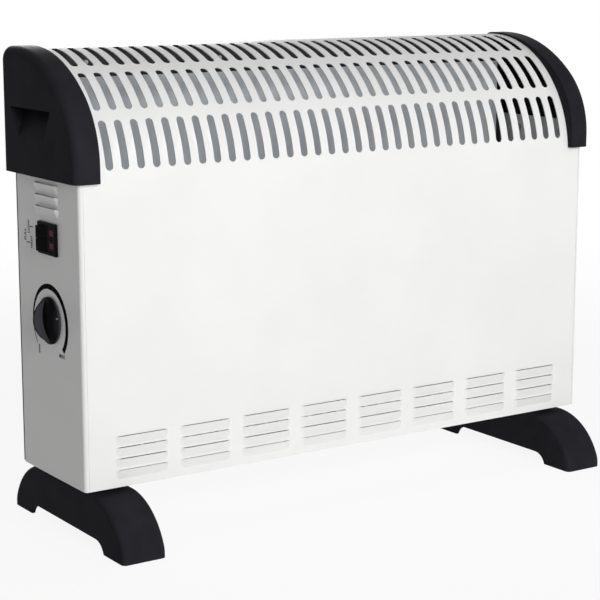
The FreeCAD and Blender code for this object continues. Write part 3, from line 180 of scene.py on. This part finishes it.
flank = addNode(tree, "ShaderNodeMapRange", {"From Min": grip["faceTo"], "From Max": grip["flankFrom"]},
                {"Value": (sideways, "Value")})
paintedFlankLight = addNode(tree, "ShaderNodeMix", {mixB: srgb(grip["paintedFlankLight"])},
                 {0: (flank, "Result"), mixA: (tone, mixResult)}, data_type="RGBA")
sheen = addNode(tree, "ShaderNodeMapRange", {"To Min": grip["dull"], "To Max": grip["smooth"]},
                {"Value": (flank, "Result")})
bump = addNode(tree, "ShaderNodeBump", {"Strength": grip["bump"], "Distance": grip["depthMm"] * mm},
               {"Height": (cloud, "Fac")})
shader = addNode(tree, "ShaderNodeBsdfPrincipled", {"IOR": grip["ior"], "Specular IOR Level": grip["gloss"]},
                 {"Base Color": (paintedFlankLight, mixResult), "Roughness": (sheen, "Result"),
                  "Normal": (bump, "Normal")})
addNode(tree, "ShaderNodeOutputMaterial", links={"Surface": (shader, "BSDF")})

# Polycarbonate, moulded and tinted: a dark red lens, ribbed behind its smooth face.
lens = {"deep": "#4c0612", "pale": "#7c1026", "waver": 0.3, "smooth": 0.12, "dull": 0.18, "bump": 0.2,
        "depthMm": 0.1, "ior": 1.58, "gloss": 0.03,
        "ribMm": 1.78}   # the ribs are 0.9 mm apart, drawn coarser to show
wavesPerUnit = 20 / (2 * math.pi)   # waves that Blender draws in one unit at scale 1
redLens, tree, spot = newMaterial("tintedPolycarbonate")
rib = addNode(tree, "ShaderNodeTexWave",
              {"Scale": perMetre(lens["ribMm"]) / wavesPerUnit, "Distortion": lens["waver"]},
              {"Vector": (spot, "Object")}, bands_direction="Y")
tone = addNode(tree, "ShaderNodeMix", {mixA: srgb(lens["deep"]), mixB: srgb(lens["pale"])},
               {0: (rib, "Fac")}, data_type="RGBA")
sheen = addNode(tree, "ShaderNodeMapRange", {"To Min": lens["smooth"], "To Max": lens["dull"]},
                {"Value": (rib, "Fac")})
bump = addNode(tree, "ShaderNodeBump", {"Strength": lens["bump"], "Distance": lens["depthMm"] * mm},
               {"Height": (rib, "Fac")})
shader = addNode(tree, "ShaderNodeBsdfPrincipled",
                 {"IOR": lens["ior"], "Specular IOR Level": lens["gloss"]},
                 {"Base Color": (tone, mixResult), "Roughness": (sheen, "Result"),
                  "Normal": (bump, "Normal")})
addNode(tree, "ShaderNodeOutputMaterial", links={"Surface": (shader, "BSDF")})

# Enamel, sprayed on steel sheet and stoved: pale blue-grey, dull, with slight runs of tone.
enamel = {"deep": "#d4d9de", "pale": "#e0e4e8", "cloudMm": 45, "cloudDetail": 4.0, "speckMm": 2.5,
          "speckDetail": 2.0, "smooth": 0.5, "dull": 0.62, "bump": 0.1, "depthMm": 0.03, "ior": 1.5}
greyEnamel, tree, spot = newMaterial("stovedEnamel")
cloud = addNode(tree, "ShaderNodeTexNoise",
                {"Scale": perMetre(enamel["cloudMm"]), "Detail": enamel["cloudDetail"]},
                {"Vector": (spot, "Object")})
speck = addNode(tree, "ShaderNodeTexNoise",
                {"Scale": perMetre(enamel["speckMm"]), "Detail": enamel["speckDetail"]},
                {"Vector": (spot, "Object")})
share = addNode(tree, "ShaderNodeMapRange", {"From Min": noiseLow, "From Max": noiseHigh},
                {"Value": (cloud, "Fac")})
tone = addNode(tree, "ShaderNodeMix", {mixA: srgb(enamel["deep"]), mixB: srgb(enamel["pale"])},
               {0: (share, "Result")}, data_type="RGBA")
sheen = addNode(tree, "ShaderNodeMapRange", {"To Min": enamel["smooth"], "To Max": enamel["dull"]},
                {"Value": (share, "Result")})
bump = addNode(tree, "ShaderNodeBump", {"Strength": enamel["bump"], "Distance": enamel["depthMm"] * mm},
               {"Height": (speck, "Fac")})
shader = addNode(tree, "ShaderNodeBsdfPrincipled", {"IOR": enamel["ior"]},
                 {"Base Color": (tone, mixResult), "Roughness": (sheen, "Result"),
                  "Normal": (bump, "Normal")})
addNode(tree, "ShaderNodeOutputMaterial", links={"Surface": (shader, "BSDF")})

# Hot-dip galvanised sheet, dulled: pale grey metal with a faint spangle.
zinc = {"deep": "#b9bdc0", "pale": "#cfd2d4", "spangleMm": 9, "smooth": 0.45, "dull": 0.62, "bump": 0.08,
        "depthMm": 0.05}
zincSheet, tree, spot = newMaterial("galvanisedSheet")
spangle = addNode(tree, "ShaderNodeTexVoronoi", {"Scale": perMetre(zinc["spangleMm"])},
                  {"Vector": (spot, "Object")})
flake = addNode(tree, "ShaderNodeSeparateColor", links={"Color": (spangle, "Color")})
tone = addNode(tree, "ShaderNodeMix", {mixA: srgb(zinc["deep"]), mixB: srgb(zinc["pale"])},
               {0: (flake, "Red")}, data_type="RGBA")
sheen = addNode(tree, "ShaderNodeMapRange", {"To Min": zinc["smooth"], "To Max": zinc["dull"]},
                {"Value": (flake, "Green")})
bump = addNode(tree, "ShaderNodeBump", {"Strength": zinc["bump"], "Distance": zinc["depthMm"] * mm},
               {"Height": (spangle, "Distance")})
shader = addNode(tree, "ShaderNodeBsdfPrincipled", {"Metallic": 1.0},
                 {"Base Color": (tone, mixResult), "Roughness": (sheen, "Result"),
                  "Normal": (bump, "Normal")})
addNode(tree, "ShaderNodeOutputMaterial", links={"Surface": (shader, "BSDF")})

# Zinc-plated steel, rolled and turned: bright grey with fine marks.
plated = {"deep": "#a5a6a4", "pale": "#c6c7c4", "markMm": 1.2, "markDetail": 4.0, "smooth": 0.28,
          "dull": 0.42, "bump": 0.1, "depthMm": 0.02}
steelFixings, tree, spot = newMaterial("zincPlatedSteel")
mark = addNode(tree, "ShaderNodeTexNoise",
               {"Scale": perMetre(plated["markMm"]), "Detail": plated["markDetail"]},
               {"Vector": (spot, "Object")})
share = addNode(tree, "ShaderNodeMapRange", {"From Min": noiseLow, "From Max": noiseHigh},
                {"Value": (mark, "Fac")})
tone = addNode(tree, "ShaderNodeMix", {mixA: srgb(plated["deep"]), mixB: srgb(plated["pale"])},
               {0: (share, "Result")}, data_type="RGBA")
sheen = addNode(tree, "ShaderNodeMapRange", {"To Min": plated["smooth"], "To Max": plated["dull"]},
                {"Value": (share, "Result")})
bump = addNode(tree, "ShaderNodeBump", {"Strength": plated["bump"], "Distance": plated["depthMm"] * mm},
               {"Height": (mark, "Fac")})
shader = addNode(tree, "ShaderNodeBsdfPrincipled", {"Metallic": 1.0},
                 {"Base Color": (tone, mixResult), "Roughness": (sheen, "Result"),
                  "Normal": (bump, "Normal")})
addNode(tree, "ShaderNodeOutputMaterial", links={"Surface": (shader, "BSDF")})

# Aluminium, extruded and dulled by heat: draw lines run along its length.
alloy = {"deep": "#9fa0a2", "pale": "#c0c1c3", "lineMm": 1.0, "lineDetail": 3.0, "stretch": (0.02, 1.0, 1.0),
         "smooth": 0.42, "dull": 0.6, "bump": 0.15, "depthMm": 0.03}
elementAlloy, tree, spot = newMaterial("extrudedAluminium")
along = addNode(tree, "ShaderNodeMapping", {"Scale": alloy["stretch"]}, {"Vector": (spot, "Object")})
drawn = addNode(tree, "ShaderNodeTexNoise",
                {"Scale": perMetre(alloy["lineMm"]), "Detail": alloy["lineDetail"]},
                {"Vector": (along, "Vector")})
share = addNode(tree, "ShaderNodeMapRange", {"From Min": noiseLow, "From Max": noiseHigh},
                {"Value": (drawn, "Fac")})
tone = addNode(tree, "ShaderNodeMix", {mixA: srgb(alloy["deep"]), mixB: srgb(alloy["pale"])},
               {0: (share, "Result")}, data_type="RGBA")
sheen = addNode(tree, "ShaderNodeMapRange", {"To Min": alloy["smooth"], "To Max": alloy["dull"]},
                {"Value": (share, "Result")})
bump = addNode(tree, "ShaderNodeBump", {"Strength": alloy["bump"], "Distance": alloy["depthMm"] * mm},
               {"Height": (drawn, "Fac")})
shader = addNode(tree, "ShaderNodeBsdfPrincipled", {"Metallic": 1.0},
                 {"Base Color": (tone, mixResult), "Roughness": (sheen, "Result"),
                  "Normal": (bump, "Normal")})
addNode(tree, "ShaderNodeOutputMaterial", links={"Surface": (shader, "BSDF")})

# Steatite, pressed and fired: off-white, dry and slightly speckled.
steatite = {"deep": "#cdc6b6", "pale": "#e0dacb", "speckMm": 1.5, "speckDetail": 5.0, "smooth": 0.62,
            "dull": 0.78, "bump": 0.2, "depthMm": 0.05, "ior": 1.56}
paleCeramic, tree, spot = newMaterial("firedSteatite")
speck = addNode(tree, "ShaderNodeTexNoise",
                {"Scale": perMetre(steatite["speckMm"]), "Detail": steatite["speckDetail"]},
                {"Vector": (spot, "Object")})
share = addNode(tree, "ShaderNodeMapRange", {"From Min": noiseLow, "From Max": noiseHigh},
                {"Value": (speck, "Fac")})
tone = addNode(tree, "ShaderNodeMix", {mixA: srgb(steatite["deep"]), mixB: srgb(steatite["pale"])},
               {0: (share, "Result")}, data_type="RGBA")
sheen = addNode(tree, "ShaderNodeMapRange", {"To Min": steatite["smooth"], "To Max": steatite["dull"]},
                {"Value": (share, "Result")})
bump = addNode(tree, "ShaderNodeBump", {"Strength": steatite["bump"], "Distance": steatite["depthMm"] * mm},
               {"Height": (speck, "Fac")})
shader = addNode(tree, "ShaderNodeBsdfPrincipled", {"IOR": steatite["ior"]},
                 {"Base Color": (tone, mixResult), "Roughness": (sheen, "Result"),
                  "Normal": (bump, "Normal")})
addNode(tree, "ShaderNodeOutputMaterial", links={"Surface": (shader, "BSDF")})

# Brass, stamped: warm bright metal with small scuffs.
brass = {"deep": "#b08d46", "pale": "#cfae66", "scuffMm": 0.8, "scuffDetail": 4.0, "smooth": 0.25,
         "dull": 0.4, "bump": 0.1, "depthMm": 0.02}
brassTerminals, tree, spot = newMaterial("stampedBrass")
scuff = addNode(tree, "ShaderNodeTexNoise",
                {"Scale": perMetre(brass["scuffMm"]), "Detail": brass["scuffDetail"]},
                {"Vector": (spot, "Object")})
share = addNode(tree, "ShaderNodeMapRange", {"From Min": noiseLow, "From Max": noiseHigh},
                {"Value": (scuff, "Fac")})
tone = addNode(tree, "ShaderNodeMix", {mixA: srgb(brass["deep"]), mixB: srgb(brass["pale"])},
               {0: (share, "Result")}, data_type="RGBA")
sheen = addNode(tree, "ShaderNodeMapRange", {"To Min": brass["smooth"], "To Max": brass["dull"]},
                {"Value": (share, "Result")})
bump = addNode(tree, "ShaderNodeBump", {"Strength": brass["bump"], "Distance": brass["depthMm"] * mm},
               {"Height": (scuff, "Fac")})
shader = addNode(tree, "ShaderNodeBsdfPrincipled", {"Metallic": 1.0},
                 {"Base Color": (tone, mixResult), "Roughness": (sheen, "Result"),
                  "Normal": (bump, "Normal")})
addNode(tree, "ShaderNodeOutputMaterial", links={"Surface": (shader, "BSDF")})

# Pad-printing ink, cured: flat black with a slightly uneven film.
ink = {"deep": "#040405", "pale": "#08080a", "filmMm": 1.4, "filmDetail": 3.0, "smooth": 0.45, "dull": 0.6,
       "ior": 1.5, "gloss": 0.005}
printInk, tree, spot = newMaterial("padPrintedInk")
film = addNode(tree, "ShaderNodeTexNoise", {"Scale": perMetre(ink["filmMm"]), "Detail": ink["filmDetail"]},
               {"Vector": (spot, "Object")})
share = addNode(tree, "ShaderNodeMapRange", {"From Min": noiseLow, "From Max": noiseHigh},
                {"Value": (film, "Fac")})
tone = addNode(tree, "ShaderNodeMix", {mixA: srgb(ink["deep"]), mixB: srgb(ink["pale"])},
               {0: (share, "Result")}, data_type="RGBA")
sheen = addNode(tree, "ShaderNodeMapRange", {"To Min": ink["smooth"], "To Max": ink["dull"]},
                {"Value": (share, "Result")})
shader = addNode(tree, "ShaderNodeBsdfPrincipled", {"IOR": ink["ior"], "Specular IOR Level": ink["gloss"]},
                 {"Base Color": (tone, mixResult), "Roughness": (sheen, "Result")})
addNode(tree, "ShaderNodeOutputMaterial", links={"Surface": (shader, "BSDF")})

# Marking paint, wiped into the knob's index: grey-white, a little uneven.
paint = {"deep": "#6c6c6b", "pale": "#828280", "filmMm": 1.0, "filmDetail": 3.0, "smooth": 0.4,
         "dull": 0.55, "ior": 1.5}
markPaint, tree, spot = newMaterial("markingPaint")
film = addNode(tree, "ShaderNodeTexNoise",
               {"Scale": perMetre(paint["filmMm"]), "Detail": paint["filmDetail"]},
               {"Vector": (spot, "Object")})
share = addNode(tree, "ShaderNodeMapRange", {"From Min": noiseLow, "From Max": noiseHigh},
                {"Value": (film, "Fac")})
tone = addNode(tree, "ShaderNodeMix", {mixA: srgb(paint["deep"]), mixB: srgb(paint["pale"])},
               {0: (share, "Result")}, data_type="RGBA")
sheen = addNode(tree, "ShaderNodeMapRange", {"To Min": paint["smooth"], "To Max": paint["dull"]},
                {"Value": (share, "Result")})
shader = addNode(tree, "ShaderNodeBsdfPrincipled", {"IOR": paint["ior"]},
                 {"Base Color": (tone, mixResult), "Roughness": (sheen, "Result")})
addNode(tree, "ShaderNodeOutputMaterial", links={"Surface": (shader, "BSDF")})

finishes = {"white_coat": whiteCoat, "black_moulding": blackMoulding, "black_control": blackControl,
            "red_lens": redLens, "grey_enamel": greyEnamel, "zinc_sheet": zincSheet,
            "steel_fixings": steelFixings, "element_alloy": elementAlloy, "pale_ceramic": paleCeramic,
            "brass_terminals": brassTerminals}
for part in frame["record"]["subparts"]:
    shown = nodes[part["node"]]
    shown.data.materials.clear()
    shown.data.materials.append(finishes[part["material_slot"]])
nodes["thermostat_knob"].data.materials[0] = knobMoulding

sheetThick = 0.8 * mm
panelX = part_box("thermostat_plate")[0].x - sheetThick   # outer face of the left panel
knobLow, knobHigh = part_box("thermostat_knob")
knobMiddle = (knobLow + knobHigh) / 2


def newPiece(name, mesh, material, body):
    piece = bpy.data.objects.new(name, mesh)
    bpy.context.scene.collection.objects.link(piece)
    mesh.materials.clear()
    mesh.materials.append(material)
    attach(piece, body)


def filmMesh(name, rows):
    # closed strip through rows of four points each
    bm = bmesh.new()
    rings = [[bm.verts.new(point) for point in row] for row in rows]
    for first, second in zip(rings, rings[1:]):
        for k in range(4):
            bm.faces.new((first[k], first[(k + 1) % 4], second[(k + 1) % 4], second[k]))
    bm.faces.new(rings[0])
    bm.faces.new(rings[-1])
    bmesh.ops.recalc_face_normals(bm, faces=bm.faces)
    mesh = bpy.data.meshes.new(name)
    bm.to_mesh(mesh)
    bm.free()
    return mesh


# Heat scale printed round the knob: a crescent that widens clockwise from the lower left.
# Angles run clockwise from the top as seen from the left end, where the front is on the right.
scale = {"start": -130, "end": 132, "radius": 31.9 * mm, "thin": 0.6 * mm, "wide": 4.7 * mm, "wideAt": 5,
         "film": 0.06 * mm, "steps": 96, "back": 0.8 * mm, "drop": 2.3 * mm}
rows = []
for i in range(scale["steps"] + 1):
    angle = scale["start"] + (scale["end"] - scale["start"]) * i / scale["steps"]
    grown = min(1, (angle - scale["start"]) / (scale["wideAt"] - scale["start"]))
    inner = scale["radius"] - scale["thin"] - (scale["wide"] - scale["thin"]) * grown
    turn = math.radians(angle)
    rows.append([(panelX - lift, knobMiddle.y + scale["back"] - radius * math.sin(turn),
                  knobMiddle.z - scale["drop"] + radius * math.cos(turn))
                 for radius, lift in ((inner, 0), (scale["radius"], 0),
                                      (scale["radius"], scale["film"]), (inner, scale["film"]))])
newPiece("heatScale", filmMesh("heatScale", rows), printInk, "case")

# Printed words, as read from the left end: upright below the knob, turned upwards beside the switch.
legends = [
    {"name": "legendMax", "text": "MAX", "size": 4.6 * mm, "y": -16.7 * mm, "z": 151.8 * mm, "turn": 0},
    {"name": "legendFrost", "text": "***", "size": 6.0 * mm, "y": 21.2 * mm, "z": 152.6 * mm, "turn": 90},
    {"name": "legendLow", "text": "LOW", "size": 4.6 * mm, "y": 37.0 * mm, "z": 251.4 * mm, "turn": 90},
    {"name": "legendHigh", "text": "HIGH", "size": 4.2 * mm, "y": 32.2 * mm, "z": 239.1 * mm, "turn": 90},
    {"name": "legendFull", "text": "FULL", "size": 4.6 * mm, "y": 43.6 * mm, "z": 244.4 * mm, "turn": 90},
]
panelTurn = Matrix(((0, 0, -1), (-1, 0, 0), (0, 1, 0))).to_4x4()
filmHalf = 0.03 * mm   # half the thickness of the ink
bolder = 0.1 * mm   # added round each stroke
for legend in legends:
    curve = bpy.data.curves.new(legend["name"], "FONT")
    curve.body = legend["text"]
    curve.size = legend["size"]
    curve.align_x = "CENTER"
    curve.extrude = filmHalf
    curve.offset = bolder
    holder = bpy.data.objects.new(legend["name"] + "Line", curve)
    bpy.context.scene.collection.objects.link(holder)
    bpy.context.view_layer.update()
    letters = bpy.data.meshes.new_from_object(holder.evaluated_get(bpy.context.evaluated_depsgraph_get()))
    bpy.data.objects.remove(holder)
    upward = Matrix.Rotation(math.radians(legend["turn"]), 4, "Z")
    letters.transform(Matrix.Translation((panelX - filmHalf, legend["y"], legend["z"])) @ panelTurn @ upward)
    newPiece(legend["name"], letters, printInk, "case")

# Short printed lines that join the words beside the switch.
dashes = [
    {"name": "dashUpper", "rear": 36.8 * mm, "front": 30.6 * mm, "low": 251.4 * mm, "high": 252.1 * mm},
    {"name": "dashLower", "rear": 43.2 * mm, "front": 36.6 * mm, "low": 238.0 * mm, "high": 238.7 * mm},
]
for dash in dashes:
    rows = [[(x, y, dash["low"]), (x, y, dash["high"]), (x - filmHalf * 2, y, dash["high"]),
             (x - filmHalf * 2, y, dash["low"])]
            for x, y in ((panelX, dash["rear"]), (panelX, dash["front"]))]
    newPiece(dash["name"], filmMesh(dash["name"], rows), printInk, "case")
print("print on the left panel done")

# Small index painted on the knob's dome, towards the front rim.
index = {"angle": 76, "inner": 17.2 * mm, "outer": 19.0 * mm, "width": 1.2 * mm, "film": 0.1 * mm,
         "sunk": 0.2 * mm, "steps": 6}
dome = {"radius": 19.2 * mm, "rim": 2.2 * mm, "top": 7.6 * mm}   # rim and top above the panel
rise = dome["top"] - dome["rim"]
domeArc = (dome["radius"] ** 2 + rise ** 2) / (2 * rise)
turn = math.radians(index["angle"])
outward = Vector((0, -math.sin(turn), math.cos(turn)))
across = Vector((0, math.cos(turn), math.sin(turn)))
rows = []
for i in range(index["steps"] + 1):
    radius = index["inner"] + (index["outer"] - index["inner"]) * i / index["steps"]
    height = dome["top"] - domeArc + math.sqrt(domeArc ** 2 - radius ** 2)
    rows.append([Vector((panelX - height - lift, knobMiddle.y, knobMiddle.z)) + outward * radius
                 + across * side * index["width"] / 2
                 for side, lift in ((-1, -index["sunk"]), (1, -index["sunk"]),
                                    (1, index["film"]), (-1, index["film"]))])
newPiece("knobIndex", filmMesh("knobIndex", rows), markPaint, "knob")
print("knob index done")

# Pale floor: white to the camera and in reflections, least so near the heater, where its shadow lies.
floorLook = {"colour": "#f4f4f4", "half": 40.0, "nearGlow": 0.9, "near": 0.5, "far": 1.6}
half = floorLook["half"]
bm = bmesh.new()
corners = ((-half, -half, 0), (half, -half, 0), (half, half, 0), (-half, half, 0))
bm.faces.new([bm.verts.new(corner) for corner in corners])
floorMesh = bpy.data.meshes.new("floor")
bm.to_mesh(floorMesh)
bm.free()
floor = bpy.data.objects.new("floor", floorMesh)
bpy.context.scene.collection.objects.link(floor)
paleFloor, tree, spot = newMaterial("paleFloor")
matt = addNode(tree, "ShaderNodeBsdfDiffuse", {"Color": srgb(floorLook["colour"])})
glow = addNode(tree, "ShaderNodeEmission", {"Color": srgb("#ffffff"), "Strength": 1.0})
reach = addNode(tree, "ShaderNodeVectorMath", links={0: (spot, "Object")}, operation="LENGTH")
share = addNode(tree, "ShaderNodeMapRange",
                {"From Min": floorLook["near"], "From Max": floorLook["far"],
                 "To Min": floorLook["nearGlow"]},
                {"Value": (reach, "Value")}, interpolation_type="SMOOTHSTEP")
ray = addNode(tree, "ShaderNodeLightPath")
straight = addNode(tree, "ShaderNodeMath",
                   links={0: (ray, "Is Camera Ray"), 1: (ray, "Is Transmission Ray")}, operation="MAXIMUM")
seen = addNode(tree, "ShaderNodeMath", links={0: (straight, "Value"), 1: (ray, "Is Glossy Ray")},
               operation="MAXIMUM")
lit = addNode(tree, "ShaderNodeMath", links={0: (seen, "Value"), 1: (share, "Result")}, operation="MULTIPLY")
mixed = addNode(tree, "ShaderNodeMixShader",
                links={0: (lit, "Value"), 1: (matt, "BSDF"), 2: (glow, "Emission")})
addNode(tree, "ShaderNodeOutputMaterial", links={"Surface": (mixed, "Shader")})
floorMesh.materials.append(paleFloor)

# Studio light: a large key before the heater, a weaker one behind, and a dim surround that looks white.
room = {"surround": 0.12, "aim": Vector((0, 0, 0.2))}
world = bpy.data.worlds.new("studio")
bpy.context.scene.world = world
world.use_nodes = True
tree = world.node_tree
tree.nodes.clear()
ray = addNode(tree, "ShaderNodeLightPath")
straight = addNode(tree, "ShaderNodeMath",
                   links={0: (ray, "Is Camera Ray"), 1: (ray, "Is Transmission Ray")}, operation="MAXIMUM")
seen = addNode(tree, "ShaderNodeMath", links={0: (straight, "Value"), 1: (ray, "Is Glossy Ray")},
               operation="MAXIMUM")
level = addNode(tree, "ShaderNodeMapRange", {"To Min": room["surround"], "To Max": 1.0},
                {"Value": (seen, "Value")})
sky = addNode(tree, "ShaderNodeBackground", {"Color": srgb("#ffffff")}, {"Strength": (level, "Result")})
addNode(tree, "ShaderNodeOutputWorld", links={"Surface": (sky, "Background")})
lamps = [
    {"name": "keyPanel", "at": (-0.3, -2.9, 1.1), "size": 1.5, "watts": 71},
    {"name": "rearPanel", "at": (0.9, 2.8, 0.7), "size": 1.5, "watts": 30},
]
for lamp in lamps:
    light = bpy.data.lights.new(lamp["name"], "AREA")
    light.size = lamp["size"]
    light.energy = lamp["watts"]
    holder = bpy.data.objects.new(lamp["name"], light)
    holder.location = lamp["at"]
    aim = room["aim"] - Vector(lamp["at"])
    holder.rotation_euler = aim.to_track_quat("-Z", "Y").to_euler()
    bpy.context.scene.collection.objects.link(holder)

# Camera at the photograph's viewing angle.
view = {"at": (-0.86365, -1.2645, 0.4629), "tilt": 79.15, "pan": -33.88, "lens": 106.1, "sensor": 36.0,
        "reach": 200}
lensData = bpy.data.cameras.new("camera")
lensData.lens = view["lens"]
lensData.sensor_width = view["sensor"]
lensData.clip_end = view["reach"]
camera = bpy.data.objects.new("camera", lensData)
camera.location = view["at"]
camera.rotation_euler = (math.radians(view["tilt"]), 0, math.radians(view["pan"]))
bpy.context.scene.collection.objects.link(camera)
bpy.context.scene.camera = camera
bpy.context.scene.view_settings.view_transform = "Standard"
print("stage, lamps and camera done")
